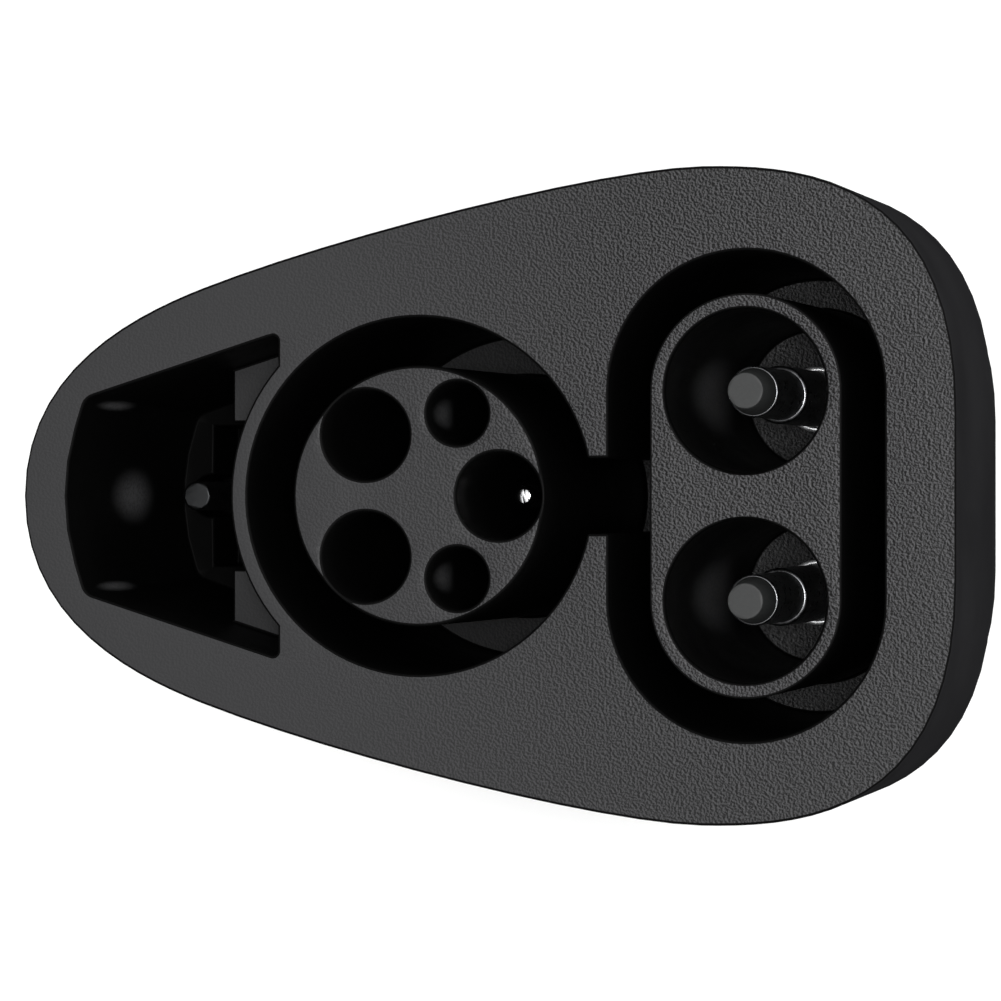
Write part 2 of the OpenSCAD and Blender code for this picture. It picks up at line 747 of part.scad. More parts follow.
// Opening of one socket in the nose: its seat, and a narrower mouth with a lead-in
module socket_seat(outer_r, mouth_r) {
    rod(flange_front - 1, socket_end + seat_gap, outer_r + seat_gap);
    rod(socket_end, total_h + 1, mouth_r);
    rod(total_h - 0.6, total_h + eps, mouth_r, mouth_r + 0.6);
}

module plug_nose() color("#252526") difference() {
    union() {
        flange_plate(flange_front, flange_back);
        slab(flange_back - eps, total_h - 1.2) nose_outline();
        hull() {
            slab(total_h - 1.2 - eps, total_h - 1.2) nose_outline();
            slab(total_h - eps, total_h) nose_outline(-1);
        }
    }
    both_sides(power_half) translate([round_x + nose_x - power_back, 0, 0])
        socket_seat(power_bore_r + socket_wall, power_bore_r + 0.5);
    translate([round_x + nose_x + ground_ahead, 0, 0])
        socket_seat(ground_bore_r + socket_wall, ground_bore_r + 0.5);
    both_sides(signal_half) translate([round_x + nose_x + signal_ahead, 0, 0])
        socket_seat(signal_bore_r + 0.7, signal_bore_r + 0.3);
    nose_screw_axes() rod(flange_front - 1, flange_back + 1, screw_r + 0.2);
}

module nose_gasket() color("#1a1a1a") difference() {
    flange_plate(flange_back, plate_front);
    slab(flange_back - 1, plate_front + 1) nose_outline(0.2);
    nose_screw_axes() rod(flange_back - 1, plate_front + 1, screw_r + 0.2);
}

module nose_screws() color("#9fa1a3") nose_screw_axes() {
    difference() {
        rod(flange_front - 1.8, flange_front, 2.6);
        slab(flange_front - 3, flange_front - 0.9) circle(1.2, $fn = 6);
    }
    rod(flange_front - eps, casing_depth - 1.4, screw_r);
}

// One thin slice of the rear shell: depth of its front face, inset, shift to the latch end
module shell_slice(depth, inset, shift)
    translate([-shift, 0, 0]) slab(depth, depth + eps) casing_outline(inset);

// Outer form of the rear shell, which narrows towards its rounded back
module shell_outside() hull() {
    shell_slice(shell_front, shell_step, 0);
    shell_slice(shell_middle, 2.7, 1.1);
    shell_slice(shell_low, 4, 1.6);
    shell_slice(casing_depth - 2.6, 5.4, 1.7);
    shell_slice(casing_depth - 0.7, 7, 1.8);
    shell_slice(casing_depth - eps, 8.8, 1.8);
}

// Hollow of the rear shell
module shell_inside() hull() {
    shell_slice(shell_front - 1, shell_step + shell_t, 0);
    shell_slice(shell_middle, 2.7 + shell_t, 1.1);
    shell_slice(shell_low, 4 + shell_t, 1.6);
    shell_slice(plate_front - eps, 4.8 + shell_t, 1.7);
}

// Screw column of the rear shell, from the front housing's post to the back plate
module column(from) {
    rod(from, screw_seat + 3, column_r);
    rod(screw_seat, casing_depth - eps, head_r + 0.3 + 1.6);
}

module column_bore(from) {
    rod(from - 1, casing_depth + 1, screw_r + 0.2);
    rod(screw_seat, casing_depth + 1, head_r + 0.3);
}

module rear_housing() color("#262627") difference() {
    union() {
        difference() {
            shell_outside();
            shell_inside();
        }
        post_axes() column(skirt_depth);
        ledge_axes() column(pocket_back);
        translate([round_x - lock_x, 0, 0]) rod(lock_boss_front, casing_depth, lock_boss_r);
    }
    slab(plate_front - 1, casing_depth + 1) nose_outline(0.15);
    translate([round_x - lock_x, 0, 0])
        rod(lock_boss_front - 1, casing_depth + 1, lock_r + lock_gap);
    nose_screw_axes() rod(plate_front - 1, casing_depth - 1.2, screw_r + seat_gap);
    post_axes() column_bore(skirt_depth);
    ledge_axes() column_bore(pocket_back);
}

module housing_gasket() color("#1a1a1a") slab(skirt_depth, shell_front) difference() {
    casing_outline(0.9);
    casing_outline(gasket_inset);
}

// A casing screw that grips the front housing up to a depth
module casing_screw(grip) {
    difference() {
        rod(screw_seat, screw_seat + head_t, head_r);
        slab(screw_seat + head_t - 1.3, screw_seat + head_t + 1) circle(1.3, $fn = 6);
    }
    rod(grip - screw_hold, screw_seat + eps, screw_r);
}

module housing_screws() color("#8f9193") {
    post_axes() casing_screw(skirt_depth);
    ledge_axes() casing_screw(pocket_back);
}

inlet_housing();
round_insulator();
dc_insulator();
dc_pin_positive();
dc_pin_negative();
dc_tip_positive();
dc_tip_negative();
pin_rings();
ground_pin();
pilot_pin();
proximity_pin();
lock_guide();
lock_pin();
lock_clip();
lock_spring();
busbar_positive();
busbar_negative();
ground_bar();
busbar_screws();
circuit_board();
temperature_sensors();
dc_socket_positive();
dc_socket_negative();
ground_socket();
pilot_socket();
proximity_socket();
plug_nose();
nose_gasket();
nose_screws();
rear_housing();
housing_gasket();
housing_screws();
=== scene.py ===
"""Hand-held DC charging adapter: finishes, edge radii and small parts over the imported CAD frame."""
import math

import bmesh
import bpy
from mathutils import Matrix, Vector, geometry


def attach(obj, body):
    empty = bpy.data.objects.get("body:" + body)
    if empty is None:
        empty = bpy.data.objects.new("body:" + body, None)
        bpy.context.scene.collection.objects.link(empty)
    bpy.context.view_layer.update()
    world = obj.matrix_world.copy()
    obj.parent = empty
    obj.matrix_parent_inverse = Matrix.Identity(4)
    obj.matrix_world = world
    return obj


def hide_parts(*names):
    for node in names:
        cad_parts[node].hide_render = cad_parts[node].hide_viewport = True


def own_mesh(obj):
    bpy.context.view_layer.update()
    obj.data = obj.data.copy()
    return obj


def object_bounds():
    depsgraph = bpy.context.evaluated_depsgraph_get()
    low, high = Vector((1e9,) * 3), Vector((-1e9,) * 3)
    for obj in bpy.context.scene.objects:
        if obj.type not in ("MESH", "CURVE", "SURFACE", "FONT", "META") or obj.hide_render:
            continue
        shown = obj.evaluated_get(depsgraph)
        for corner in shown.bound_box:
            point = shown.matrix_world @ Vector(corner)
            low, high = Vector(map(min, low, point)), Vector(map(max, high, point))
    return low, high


bl_info = {
    "name": "Charging Adapter",
    "version": (1, 0, 0),
    "blender": (4, 5, 0),
    "location": "View3D > Sidebar > Adapter",
    "description": "Dresses the CAD model of a DC charging adapter for a product picture",
    "category": "Object",
}

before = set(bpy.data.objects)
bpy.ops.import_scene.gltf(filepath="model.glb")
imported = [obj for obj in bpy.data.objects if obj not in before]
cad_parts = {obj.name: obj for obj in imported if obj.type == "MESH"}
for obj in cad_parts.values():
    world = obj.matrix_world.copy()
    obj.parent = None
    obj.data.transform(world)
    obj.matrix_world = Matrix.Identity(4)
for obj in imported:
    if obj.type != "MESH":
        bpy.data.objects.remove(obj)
CAD_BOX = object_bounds()
MM = 0.001
# The photograph's width, how far its middle lies from the camera's aim, and where the aim is
PHOTO_PIXELS = 1001
SHIFT_PIXELS = -4.6
AIM_X = 3.26 * MM
SENSOR_MM = 36
FLOOR_HALF = 4.0
# Corners nearer than this are one corner, and facets that meet at less than this are one flat face
WELD = 2e-6
FLAT = math.radians(0.05)
# Edges that turn by more than SHARP are rounded in EDGE_STEPS, and shading is smooth up to SMOOTH
SHARP = math.radians(50)
EDGE_STEPS = 2
SMOOTH = math.radians(40)
# A normal's upright share above which a face carries the mould's face texture
DRAW_FACING = 0.97
# A normal's level share above which a face is a wall, and how far inside the piece's outline an
# outer wall may lie, such as a drafted skirt
WALL_FACING = 0.5
OUTER_WALL = 1.6 * MM
# Boxes round the latch pocket's level floors, which take the near-black wall finish as painted shade, and
# round the lock pin's bore, in millimetres
POCKET_FLOORS = ((-62, -30, 40), (-30, 30, 98))
LOCK_BORE = ((-57, -7, 60), (-45, 7, 72))
# The grain's shaded side is this far from its lit side, in millimetres
GRAIN_SHADE = (0.13, 0.06, 0)
# The spacing of a turned surface's rings, and the radians in a unit of Blender's wave texture
RING_SPACING = 0.565 * MM
WAVE_RADIANS = 20


def srgb(code):
    """Turns an sRGB hex colour into linear red, green, blue and alpha."""
    levels = [int(code[i:i + 2], 16) / 255 for i in (1, 3, 5)]
    return [c / 12.92 if c <= 0.04045 else ((c + 0.055) / 1.055) ** 2.4 for c in levels] + [1]


def add(tree, kind, settings=None, links=None):
    """Adds a node, sets its properties and sockets, and links its inputs to other outputs."""
    node = tree.nodes.new("ShaderNode" + kind)
    for key, value in (settings or {}).items():
        if isinstance(key, str) and key not in node.inputs:
            setattr(node, key, value)
        else:
            node.inputs[key].default_value = value
    for key, output in (links or {}).items():
        tree.links.new(output, node.inputs[key])
    return node


def feed(tree, value, socket):
    """Links an output to a socket, or sets the socket to a plain value."""
    if isinstance(value, bpy.types.NodeSocket):
        tree.links.new(value, socket)
    else:
        socket.default_value = value


def new_material(name, settings):
    """A material whose shader has the given settings, with its node tree and the shader."""
    material = bpy.data.materials.new(name)
    material.use_nodes = True
    tree = material.node_tree
    shader = tree.nodes["Principled BSDF"]
    for key, value in settings.items():
        shader.inputs[key].default_value = value
    return material, tree, shader


def place_of(tree):
    """Each point's place on the object, in metres."""
    return add(tree, "TexCoord").outputs["Object"]


def noise(tree, grain_mm, detail=2.0, roughness=0.5, shift_mm=(0, 0, 0)):
    """Noise whose features are about grain_mm across, moved by shift_mm."""
    settings = {"Scale": 1 / (grain_mm * MM), "Detail": detail, "Roughness": roughness}
    moved = add(tree, "VectorMath", {"operation": "ADD", 1: [v * MM for v in shift_mm]},
                {0: place_of(tree)}).outputs[0]
    return add(tree, "TexNoise", settings, {"Vector": moved}).outputs["Fac"]


def ramp(tree, factor, low, high, from_low, from_high, smooth=True):
    """Maps factor from low..high to from_low..from_high, clamped."""
    settings = {1: low, 2: high, 3: from_low, 4: from_high,
                "interpolation_type": "SMOOTHSTEP" if smooth else "LINEAR"}
    return add(tree, "MapRange", settings, {0: factor}).outputs[0]


def mix_colour(tree, factor, first, second):
    """A mix of two colours, each a list or an output."""
    node = add(tree, "Mix", {"data_type": "RGBA"}, {0: factor})
    for socket, value in ((6, first), (7, second)):
        feed(tree, value, node.inputs[socket])
    return node.outputs[2]


def bump(tree, shader, height, depth_mm):
    """Shades the surface as if it were raised by depth_mm where height is 1."""
    node = add(tree, "Bump", {"Distance": depth_mm * MM}, {"Height": height})
    tree.links.new(node.outputs[0], shader.inputs["Normal"])


def along(tree, axis, low_mm, high_mm, from_low, from_high):
    """A value that changes along one axis of the object, between two places in millimetres."""
    parts = add(tree, "SeparateXYZ", None, {0: place_of(tree)})
    return ramp(tree, parts.outputs["XYZ".index(axis)], low_mm * MM, high_mm * MM, from_low, from_high)


def arithmetic(tree, operation, first, second):
    """A Math node on two values, each an output or a number."""
    node = add(tree, "Math", {"operation": operation})
    for socket, value in zip(node.inputs, (first, second)):
        feed(tree, value, socket)
    return node.outputs[0]


def spot(tree, middle_mm, reach_mm, core):
    """A soft round spot: 1 in its core, which is a share of its reach along each axis, 0 outside."""
    offset = add(tree, "VectorMath", {"operation": "SUBTRACT", 1: [v * MM for v in middle_mm]},
                 {0: place_of(tree)}).outputs[0]
    share = add(tree, "VectorMath", {"operation": "DIVIDE", 1: [v * MM for v in reach_mm]},
                {0: offset}).outputs[0]
    far = add(tree, "VectorMath", {"operation": "LENGTH"}, {0: share}).outputs["Value"]
    return ramp(tree, far, core, 1, 1, 0)


def scaled(colour, factor):
    """A linear colour made lighter or darker."""
    return [c * factor for c in colour[:3]] + [1]


def spark_face(name, colour, grain_mm, depth_mm):
    """Glass-filled polyester or polyamide from a spark-eroded mould: a dull black with a sandy grain,
    crisper towards the DC end. The colour holds painted shade and painted highlight on the grain's sides,
    as if a lamp stood at the DC end, and they are stronger towards the DC end and the top."""
    material, tree, shader = new_material(name, {"IOR": 1.5, "Specular IOR Level": 0.15})
    # Falloff of the painted light: the painted shade and highlight, and the grain's bumps, grow stronger
    # towards the DC end and the top
    crisp_grain_and_painted_light = arithmetic(tree, "MULTIPLY", along(tree, "X", -35, 40, 0.12, 1),
                       along(tree, "Y", -60, 20, 0.7, 1))
    hump_mm = grain_mm * 0.68
    # Painted shade and painted highlight: the grain minus a shifted copy of itself, so each bump is
    # lighter on one side and darker on the other
    painted_shade_slope = arithmetic(tree, "SUBTRACT", noise(tree, hump_mm, 1),
                       noise(tree, hump_mm, 1, shift_mm=GRAIN_SHADE))
    painted_grain_shade = ramp(tree, painted_shade_slope, -0.09, 0.12, -0.6, 0.5, smooth=False)
    share = arithmetic(tree, "ADD", arithmetic(tree, "MULTIPLY", painted_grain_shade, crisp_grain_and_painted_light), 0.5)
    # The painted shade and highlight swing the colour from almost black to twice its tone
    tint = mix_colour(tree, share, scaled(colour, 0.02), scaled(colour, 1.98))
    tree.links.new(tint, shader.inputs["Base Color"])
    cloud = ramp(tree, noise(tree, 25, 3), 0.3, 0.7, 0.42, 0.48)
    tree.links.new(cloud, shader.inputs["Roughness"])
    settings = {"feature": "SMOOTH_F1", "Scale": 1 / (grain_mm * MM), "Smoothness": 0.4}
    cells = add(tree, "TexVoronoi", settings, {"Vector": place_of(tree)}).outputs["Distance"]
    height = arithmetic(tree, "ADD", cells, noise(tree, grain_mm * 0.7))
    bump(tree, shader, arithmetic(tree, "MULTIPLY", height, crisp_grain_and_painted_light), depth_mm)
    return material


def satin_wall(name, colour, roughness, level, highlight_spots=(), highlight_colour=None):
    """The same plastic on the mould's stoned walls: near black, with fine drag lines from leaving the
    mould, and soft lighter spots of painted highlight where light would catch the walls deep in the wells
    and the latch pocket. A spot has its middle and its reach in millimetres, and the share of the reach
    that is its core."""
    material, tree, shader = new_material(name, {"IOR": 1.45, "Specular IOR Level": level})
    tone = ramp(tree, noise(tree, 20, 3), 0.3, 0.7, 0, 1)
    tint = mix_colour(tree, tone, srgb(colour), scaled(srgb(colour), 1.3))
    speckle = ramp(tree, noise(tree, 0.4, 3, 0.6), 0.3, 0.6, 0.55, 1)
    painted_highlight = None
    for middle_mm, reach_mm, core in highlight_spots:
        highlight_spot = spot(tree, middle_mm, reach_mm, core)
        painted_highlight = highlight_spot if painted_highlight is None else arithmetic(tree, "MAXIMUM", painted_highlight, highlight_spot)
    # Painted highlight: the spots lighten the colour towards the highlight colour
    if painted_highlight:
        tint = mix_colour(tree, arithmetic(tree, "MULTIPLY", painted_highlight, speckle), tint, srgb(highlight_colour))
    tree.links.new(tint, shader.inputs["Base Color"])
    tree.links.new(ramp(tree, noise(tree, 6, 4, 0.6), 0.3, 0.7, roughness - 0.02, roughness + 0.03),
                   shader.inputs["Roughness"])
    stretch = add(tree, "Mapping", {"Scale": (1, 1, 0.06)}, {0: place_of(tree)}).outputs[0]
    settings = {"Scale": 1 / (0.35 * MM), "Detail": 2}
    drag = add(tree, "TexNoise", settings, {"Vector": stretch}).outputs["Fac"]
    bump(tree, shader, drag, 0.0012)
    return material


def turned_metal(name, colour, roughness):
    """Turned and plated metal: fine rings round the axis and a little colour drift in the plating."""
    material, tree, shader = new_material(name, {"Metallic": 1.0})
    drift = ramp(tree, noise(tree, 4, 3), 0.3, 0.7, 0, 1)
    tint = mix_colour(tree, drift, srgb(colour), scaled(srgb(colour), 0.9))
    tree.links.new(tint, shader.inputs["Base Color"])
    wear = ramp(tree, noise(tree, 0.8, 4, 0.6), 0.3, 0.75, roughness * 0.8, roughness * 1.35)
    tree.links.new(wear, shader.inputs["Roughness"])
    settings = {"wave_type": "BANDS", "bands_direction": "Z", "Distortion": 1.2, "Detail": 2,
                "Scale": math.tau / (WAVE_RADIANS * RING_SPACING)}
    rings = add(tree, "TexWave", settings, {"Vector": place_of(tree)}).outputs["Fac"]
    bump(tree, shader, rings, 0.0012)
    return material


def grey_cap_plastic(name):
    """Mineral-filled polyamide, moulded, as on the touch guards: flat grey with a dull sheen."""
    material, tree, shader = new_material(name, {"IOR": 1.5, "Roughness": 0.5, "Specular IOR Level": 0.3})
    speck = ramp(tree, noise(tree, 0.35, 3, 0.7), 0.35, 0.7, 0, 1)
    tree.links.new(mix_colour(tree, speck, srgb("#1f2020"), srgb("#232424")), shader.inputs["Base Color"])
    bump(tree, shader, noise(tree, 0.25, 3, 0.6), 0.006)
    return material


def drawn_wire(name):
    """Drawn spring steel: thin lines along the wire and an oiled shine."""
    material, tree, shader = new_material(name, {"Metallic": 1.0, "Roughness": 0.28})
    shade = ramp(tree, noise(tree, 1.5, 3), 0.3, 0.7, 0, 1)
    tree.links.new(mix_colour(tree, shade, srgb("#a9a9aa"), srgb("#8f9092")), shader.inputs["Base Color"])
    bump(tree, shader, noise(tree, 0.12, 2), 0.002)
    return material


def bare_copper(name):
    """Rolled copper bar, slightly browned by handling."""
    material, tree, shader = new_material(name, {"Metallic": 1.0})
    brown = ramp(tree, noise(tree, 6, 5, 0.6), 0.35, 0.7, 0, 1)
    tree.links.new(mix_colour(tree, brown, srgb("#c98a63"), srgb("#9d6444")), shader.inputs["Base Color"])
    tree.links.new(ramp(tree, noise(tree, 2, 4), 0.3, 0.7, 0.28, 0.45), shader.inputs["Roughness"])
    bump(tree, shader, noise(tree, 0.3, 2), 0.002)
    return material


def solder_mask(name):
    """Green solder mask over glass-epoxy board, glossy, with the weave just showing."""
    material, tree, shader = new_material(name, {"IOR": 1.5, "Roughness": 0.22, "Coat Weight": 0.4})
    weave = add(tree, "TexChecker", {"Scale": 1 / (0.9 * MM)}, {"Vector": place_of(tree)}).outputs["Fac"]
    tree.links.new(mix_colour(tree, weave, srgb("#1c4a31"), srgb("#1f5036")), shader.inputs["Base Color"])
    bump(tree, shader, noise(tree, 0.5, 2), 0.003)
    return material


def dull_epoxy(name):
    """Black epoxy potting on the sensors, dull and slightly uneven."""
    material, tree, shader = new_material(name, {"IOR": 1.55, "Roughness": 0.55})
    shade = noise(tree, 1.2, 3)
    tree.links.new(mix_colour(tree, shade, srgb("#26272a"), srgb("#303134")), shader.inputs["Base Color"])
    bump(tree, shader, noise(tree, 0.4, 3), 0.01)
    return material


def gasket_rubber(name):
    """Silicone rubber gasket: very dull black with a dusty bloom."""
    material, tree, shader = new_material(name, {"IOR": 1.43, "Roughness": 0.75, "Sheen Weight": 0.1})
    bloom = ramp(tree, noise(tree, 3, 4, 0.6), 0.4, 0.75, 0, 1)
    tree.links.new(mix_colour(tree, bloom, srgb("#161616"), srgb("#232323")), shader.inputs["Base Color"])
    bump(tree, shader, noise(tree, 0.3, 3), 0.008)
    return material


def outward_faces(bm):
    """Faces with nothing of their own piece in front of them: the piece's outer walls."""
    corners = [v.co.xy for v in bm.verts]
    hull = [corners[i] for i in geometry.convex_hull_2d(corners)]
    found = set()
    for face in bm.faces:
        flat = face.normal.xy
        if flat.length > WALL_FACING:
            reach = max(flat.dot(corner) for corner in hull)
            if flat.dot(face.calc_center_median().xy) > reach - OUTER_WALL:
                found.add(face)
    return found


def within(point, box_mm):
    """Whether a point lies in a box given by two corners in millimetres."""
    return all(low * MM <= value <= high * MM for value, low, high in zip(point, *box_mm))


def round_edges(bm, radius_mm, crisp_mm):
    """Joins the facets of each flat face, then gives the sharp edges outside crisp_mm a radius."""
    bmesh.ops.remove_doubles(bm, verts=bm.verts, dist=WELD)
    bmesh.ops.dissolve_degenerate(bm, dist=WELD, edges=bm.edges)
    flat = [e for e in bm.edges if len(e.link_faces) == 2 and e.calc_face_angle(0) < FLAT]
    bmesh.ops.dissolve_limit(bm, angle_limit=FLAT, use_dissolve_boundaries=False, verts=[],
                             edges=flat)
    sharp = [e for e in bm.edges if len(e.link_faces) == 2 and e.calc_face_angle(0) > SHARP
             and not (crisp_mm and all(within(corner.co, crisp_mm) for corner in e.verts))]
    bmesh.ops.bevel(bm, geom=sharp, offset=radius_mm * MM, offset_type="OFFSET",
                    segments=EDGE_STEPS, profile=0.5, affect="EDGES", clamp_overlap=False,
                    loop_slide=True)
    bmesh.ops.triangulate(bm, faces=[face for face in bm.faces if len(face.verts) > 4])
    bm.normal_update()


def finish_faces(bm, finishes, shaded_floors_mm):
    """Gives the walls the second of the piece's finishes, and its outermost walls the third."""
    outer = outward_faces(bm) if finishes > 2 else ()
    for face in bm.faces:
        face.smooth = True
        wall = finishes > 1 and abs(face.normal.z) < DRAW_FACING
        # Level faces in the box shaded_floors_mm take a wall finish too, as painted shade
        if wall or shaded_floors_mm and within(face.calc_center_median(), shaded_floors_mm):
            face.material_index = 2 if face in outer else 1


def soften(node, name, radius_mm, *materials, shaded_floors_mm=None, crisp_mm=None, body="adapter"):
    """A copy of a CAD node whose sharp edges have the radius that the real mould or cut leaves. Materials
    after the first go to the walls inside the piece, and to those on its outside. Level faces in the box
    shaded_floors_mm take the walls' finish as painted shade, and edges in the box crisp_mm stay sharp."""
    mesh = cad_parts[node].data.copy()
    mesh.materials.clear()
    for material in materials:
        mesh.materials.append(material)
    bm = bmesh.new()
    bm.from_mesh(mesh)
    round_edges(bm, radius_mm, crisp_mm)
    finish_faces(bm, len(materials), shaded_floors_mm)
    bm.to_mesh(mesh)
    bm.free()
    piece = bpy.data.objects.new(name, mesh)
    bpy.context.scene.collection.objects.link(piece)
    mesh.set_sharp_from_angle(angle=SMOOTH)
    weigh = piece.modifiers.new("weighted_normals", "WEIGHTED_NORMAL")
    weigh.keep_sharp = True
    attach(piece, body)
    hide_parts(node)
    return piece


class ADAPTER_PG_housing(bpy.types.PropertyGroup):
    edge_radius: bpy.props.FloatProperty(
        name="Edge radius", description="Radius of the mouths' and casing's edges",
        default=0.35 * MM, min=0.05 * MM, max=1 * MM, unit="LENGTH")
    grain: bpy.props.FloatProperty(
        name="Grain", description="Width of the spark texture's grain on the face",
        default=0.5 * MM, min=0.2 * MM, max=1.5 * MM, unit="LENGTH")
    grain_depth: bpy.props.FloatProperty(
        name="Grain depth", description="Depth of the spark texture",
        default=0.07 * MM, min=0, max=0.2 * MM, unit="LENGTH")
    face_colour: bpy.props.FloatVectorProperty(
        name="Face colour", description="Colour of the front housing's face",
        default=srgb("#2a2a2b")[:3], min=0, max=1, size=3, subtype="COLOR")
    insulator_colour: bpy.props.FloatVectorProperty(
        name="Insulator colour", description="Colour of the five-hole core and the two-well block",
        default=srgb("#2b2b2c")[:3], min=0, max=1, size=3, subtype="COLOR")


class ADAPTER_PG_stage(bpy.types.PropertyGroup):
    distance: bpy.props.FloatProperty(
        name="Camera distance", description="From the face to the camera",
        default=535.71 * MM, min=200 * MM, max=2, unit="LENGTH")
    tilt: bpy.props.FloatProperty(
        name="Camera tilt", description="Lean of the view towards the DC end",
        default=math.radians(14.938), min=0, max=math.radians(60), unit="ROTATION")
    lens: bpy.props.FloatProperty(
        name="Lens", description="Focal length in millimetres", default=148.0, min=35, max=300)


GROUPS = {"adapter_housing": ADAPTER_PG_housing, "adapter_stage": ADAPTER_PG_stage}
OPERATORS = []


def operator(cls):
    """Keeps the operators in the order that they stand in here."""
    OPERATORS.append(cls)
    return cls


@operator
class ADAPTER_OT_housings(bpy.types.Operator):
    """Moulded front and rear housings and the plug nose, with their real edge radii"""
    bl_idname = "adapter.housings"
    bl_label = "Housings"

    def execute(self, context):
        sizes = context.scene.adapter_housing
        grain, depth = sizes.grain / MM, sizes.grain_depth / MM
        grainy = spark_face("polyamide_black_spark_eroded", sizes.face_colour, grain, depth)
        # Painted highlights: soft lighter spots, #484849, on the latch pocket's far wall and on its two
        # corners, where light would catch them
        pocket_painted_highlights = [((-57.5, 0, 97), (9, 4.6, 9), 0.1)]
        pocket_painted_highlights += [((-56.5, side * 12.3, 109), (8, 0.9, 8), 0.1) for side in (1, -1)]
        # Painted shade: the inner walls' #050505 is far darker than the outer walls' #1a1a1b, partly the
        # plastic's own black and partly painted shade for the deep wells and the pocket
        inner = satin_wall("polyamide_black_stoned", "#050505", 0.45, 0.03, pocket_painted_highlights, "#484849")
        outer = satin_wall("polyamide_black_side_grain", "#1a1a1b", 0.5, 0.0)
        soften("inlet_housing", "front_housing", sizes.edge_radius / MM, grainy, inner, outer,
               shaded_floors_mm=POCKET_FLOORS, crisp_mm=LOCK_BORE)
        soften("rear_housing", "rear_shell", 0.3, outer)
        soften("plug_nose", "nose_body", 0.3, outer)
        return {"FINISHED"}


@operator
class ADAPTER_OT_insulators(bpy.types.Operator):
    """Five-hole core, two-well block and the lock pin's bush"""
    bl_idname = "adapter.insulators"
    bl_label = "Insulators"

    def execute(self, context):
        sizes = context.scene.adapter_housing
        grain, depth = sizes.grain / MM, sizes.grain_depth / MM
        grainy = spark_face("pbt_black_spark_eroded", sizes.insulator_colour, grain, depth)
        # Painted highlights: soft lighter spots, #464647, on the left walls of the two DC wells and of
        # the two signal holes, where light would catch them
        well_painted_highlights = [((25.8, side * 13.5, 92), (6, 6.5, 16), 0.2) for side in (-1, 1)]
        well_painted_highlights += [((-6.6, side * 10.8, 112), (2, 2.6, 6), 0.1) for side in (-1, 1)]
        # Painted shade: the walls' #060606 is partly the plastic's own black and partly painted shade for
        # the deep holes and wells
        satin = satin_wall("pbt_black_stoned", "#060606", 0.45, 0.05, well_painted_highlights, "#464647")
        soften("round_insulator", "five_hole_core", 0.15, grainy, satin)
        soften("dc_insulator", "two_well_block", 0.3, grainy, satin)
        soften("lock_guide", "lock_bush", 0.15, satin)
        return {"FINISHED"}


@operator
class ADAPTER_OT_contacts(bpy.types.Operator):
    """Contact pins, their caps and rings"""
    bl_idname = "adapter.contacts"
    bl_label = "Contacts"

    def execute(self, context):
        silver = turned_metal("silver_plated_copper_turned", "#77787a", 0.32)
        grey = grey_cap_plastic("polyamide_grey_moulded")
        bright = turned_metal("nickel_plated_bright", "#e4e5e6", 0.15)
        for node in ("dc_pin_positive", "dc_pin_negative"):
            soften(node, node + "_turned", 0.08, silver)
        for node in ("dc_tip_positive", "dc_tip_negative"):
            soften(node, node + "_cap", 0.1, grey)
        soften("pin_rings", "foot_rings", 0.05, bright)
        for node in ("ground_pin", "pilot_pin", "proximity_pin"):
            soften(node, node + "_turned", 0.05, bright if node == "ground_pin" else silver)
        bronze = turned_metal("tin_plated_bronze", "#c9bd96", 0.35)
        for node in ("dc_socket_positive", "dc_socket_negative", "ground_socket",
                     "pilot_socket", "proximity_socket"):
            soften(node, node + "_slotted", 0.06, bronze)
        return {"FINISHED"}


@operator
class ADAPTER_OT_lock(bpy.types.Operator):
    """Sprung lock pin with its clip and spring"""
    bl_idname = "adapter.lock"
    bl_label = "Lock pin"

    def execute(self, context):
        steel = turned_metal("stainless_steel_turned", "#3f4041", 0.4)
        wire = drawn_wire("spring_steel_drawn")
        soften("lock_pin", "lock_plunger", 0.05, steel, body="lock")
        soften("lock_clip", "lock_ring", 0.05, steel, body="lock")
        coil = soften("lock_spring", "lock_coil", 0.03, wire)
        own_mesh(coil)
        return {"FINISHED"}


@operator
class ADAPTER_OT_inner(bpy.types.Operator):
    """Busbars, screws, board, sensors and gaskets inside the casing"""
    bl_idname = "adapter.inner"
    bl_label = "Inner parts"

    def execute(self, context):
        copper = bare_copper("copper_rolled")
        zinc = turned_metal("steel_zinc_plated", "#b0b1b3", 0.35)
        rubber = gasket_rubber("silicone_rubber_black")
        for node in ("busbar_positive", "busbar_negative", "ground_bar"):
            soften(node, node + "_bar", 0.2, copper)
        for node in ("busbar_screws", "nose_screws", "housing_screws"):
            soften(node, node + "_set", 0.12, zinc)
        soften("circuit_board", "link_board", 0.08, solder_mask("solder_mask_green"))
        soften("temperature_sensors", "bar_sensors", 0.1, dull_epoxy("epoxy_black_potted"))
        soften("nose_gasket", "nose_seal", 0.15, rubber)
        soften("housing_gasket", "casing_seal", 0.15, rubber)
        return {"FINISHED"}


def area_light(name, at, towards, size, power):
    """A soft white light, with places and sizes in metres and its power in watts."""
    data = bpy.data.lights.new(name, "AREA")
    data.shape = "RECTANGLE"
    data.size, data.size_y = size
    data.energy = power
    light = bpy.data.objects.new(name, data)
    light.location = at
    light.rotation_euler = (Vector(towards) - Vector(at)).to_track_quat("-Z", "Y").to_euler()
    bpy.context.scene.collection.objects.link(light)


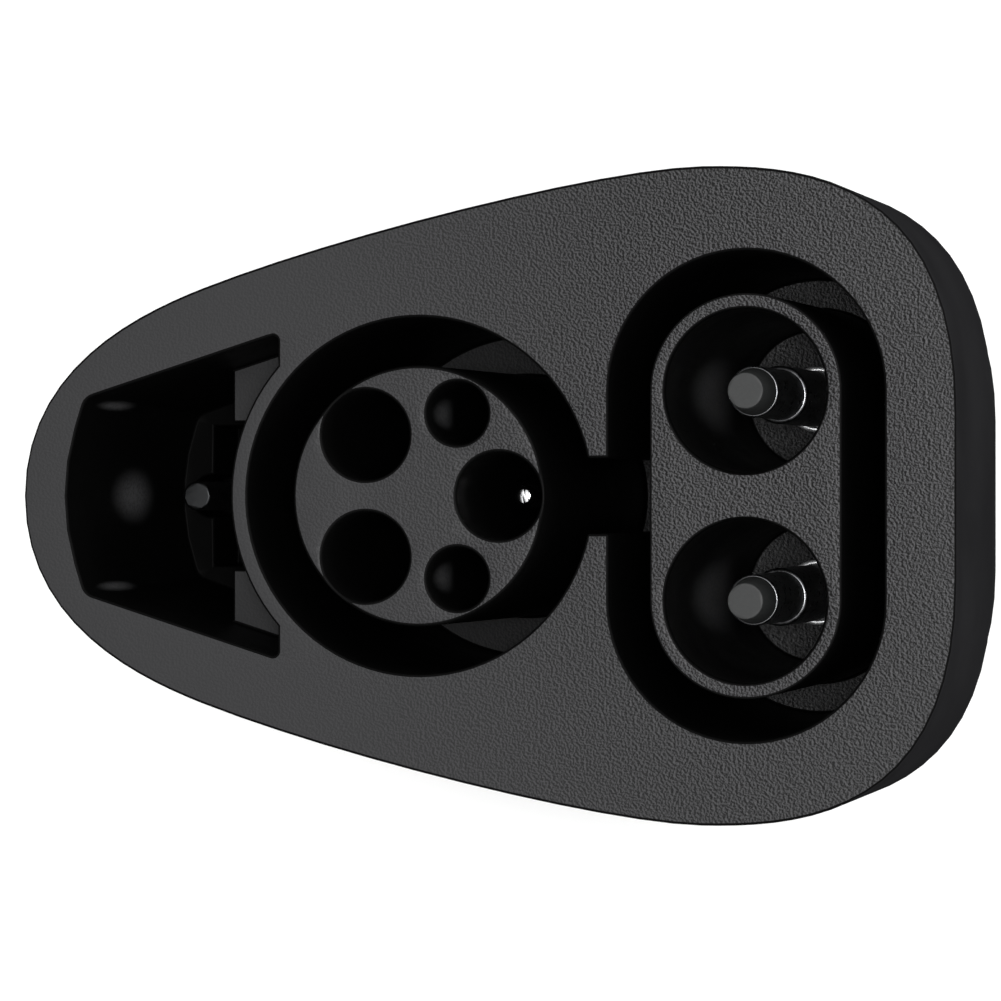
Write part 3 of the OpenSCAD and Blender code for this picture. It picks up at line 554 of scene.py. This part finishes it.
def aim_camera(scene, view):
    """The photograph's camera, which leans towards the DC end and looks down on the face."""
    aim = Vector((AIM_X, 0, CAD_BOX[1][2]))
    back = Vector((math.sin(view.tilt), 0, math.cos(view.tilt)))
    up = Vector((0, 1, 0))
    data = bpy.data.cameras.new("camera")
    data.lens, data.sensor_width = view.lens, SENSOR_MM
    data.shift_y = SHIFT_PIXELS / PHOTO_PIXELS
    camera = bpy.data.objects.new("camera", data)
    turn = Matrix((up.cross(back), up, back)).transposed().to_4x4()
    camera.matrix_world = Matrix.Translation(aim + back * view.distance) @ turn
    scene.collection.objects.link(camera)
    scene.camera = camera


def floor_paint(name):
    """Rolled white emulsion paint, matt, with broad clouds that are barely seen."""
    material, tree, shader = new_material(name, {"Roughness": 0.6})
    tint = mix_colour(tree, noise(tree, 400), srgb("#f6f6f5"), srgb("#fbfbfb"))
    tree.links.new(tint, shader.inputs["Base Color"])
    return material


def lay_floor(scene):
    """The level floor that the adapter stands over."""
    mesh = bpy.data.meshes.new("floor")
    half = FLOOR_HALF
    mesh.from_pydata([(-half, -half, 0), (half, -half, 0), (half, half, 0), (-half, half, 0)],
                     [], [(0, 1, 2, 3)])
    mesh.materials.append(floor_paint("floor_white_paint"))
    floor = bpy.data.objects.new("floor", mesh)
    scene.collection.objects.link(floor)


@operator
class ADAPTER_OT_stage(bpy.types.Operator):
    """Pale floor, soft lights and the camera at the photograph's angle"""
    bl_idname = "adapter.stage"
    bl_label = "Stage"

    def execute(self, context):
        aim_camera(context.scene, context.scene.adapter_stage)
        lay_floor(context.scene)
        area_light("key_softbox", (0.165, 0, 0.72), (0, 0, 0.1), (0.12, 0.12), 2.2)
        area_light("overhead_softbox", (0.7, 0.25, 1.6), (0, 0, 0), (0.8, 0.8), 6)
        area_light("grazing_softbox", (0.34, 0.16, 0.24), (0.02, 0, 0.12), (0.1, 0.1), 0.3)
        area_light("contact_reflector", (-0.225, 0, 1.2), (0.02, 0, 0.1), (0.2, 0.14), 0.26)
        world = bpy.data.worlds.new("studio")
        world.use_nodes = True
        sky = world.node_tree.nodes["Background"]
        sky.inputs["Color"].default_value = srgb("#ffffff")
        sky.inputs["Strength"].default_value = 1.0
        context.scene.world = world
        context.scene.view_settings.view_transform = "Standard"
        return {"FINISHED"}


class ADAPTER_PT_panel(bpy.types.Panel):
    """Lists the steps that dress the adapter"""
    bl_idname = "ADAPTER_PT_panel"
    bl_label = "Charging adapter"
    bl_space_type = "VIEW_3D"
    bl_region_type = "UI"
    bl_category = "Adapter"

    def draw(self, context):
        for group in GROUPS:
            settings = getattr(context.scene, group)
            for prop in settings.bl_rna.properties:
                if prop.identifier not in ("rna_type", "name"):
                    self.layout.prop(settings, prop.identifier)
        for step in OPERATORS:
            self.layout.operator(step.bl_idname)


def register():
    """Registers the classes and hangs the sizes on the scene."""
    for cls in (*GROUPS.values(), *OPERATORS, ADAPTER_PT_panel):
        bpy.utils.register_class(cls)
    for name, group in GROUPS.items():
        setattr(bpy.types.Scene, name, bpy.props.PointerProperty(type=group))


def unregister():
    """Takes away what register adds."""
    for name in GROUPS:
        delattr(bpy.types.Scene, name)
    for cls in reversed((*GROUPS.values(), *OPERATORS, ADAPTER_PT_panel)):
        bpy.utils.unregister_class(cls)


def main():
    """Runs the steps in order."""
    register()
    for step in OPERATORS:
        family, action = step.bl_idname.split(".")
        getattr(getattr(bpy.ops, family), action)()


if __name__ == "__main__":
    main()
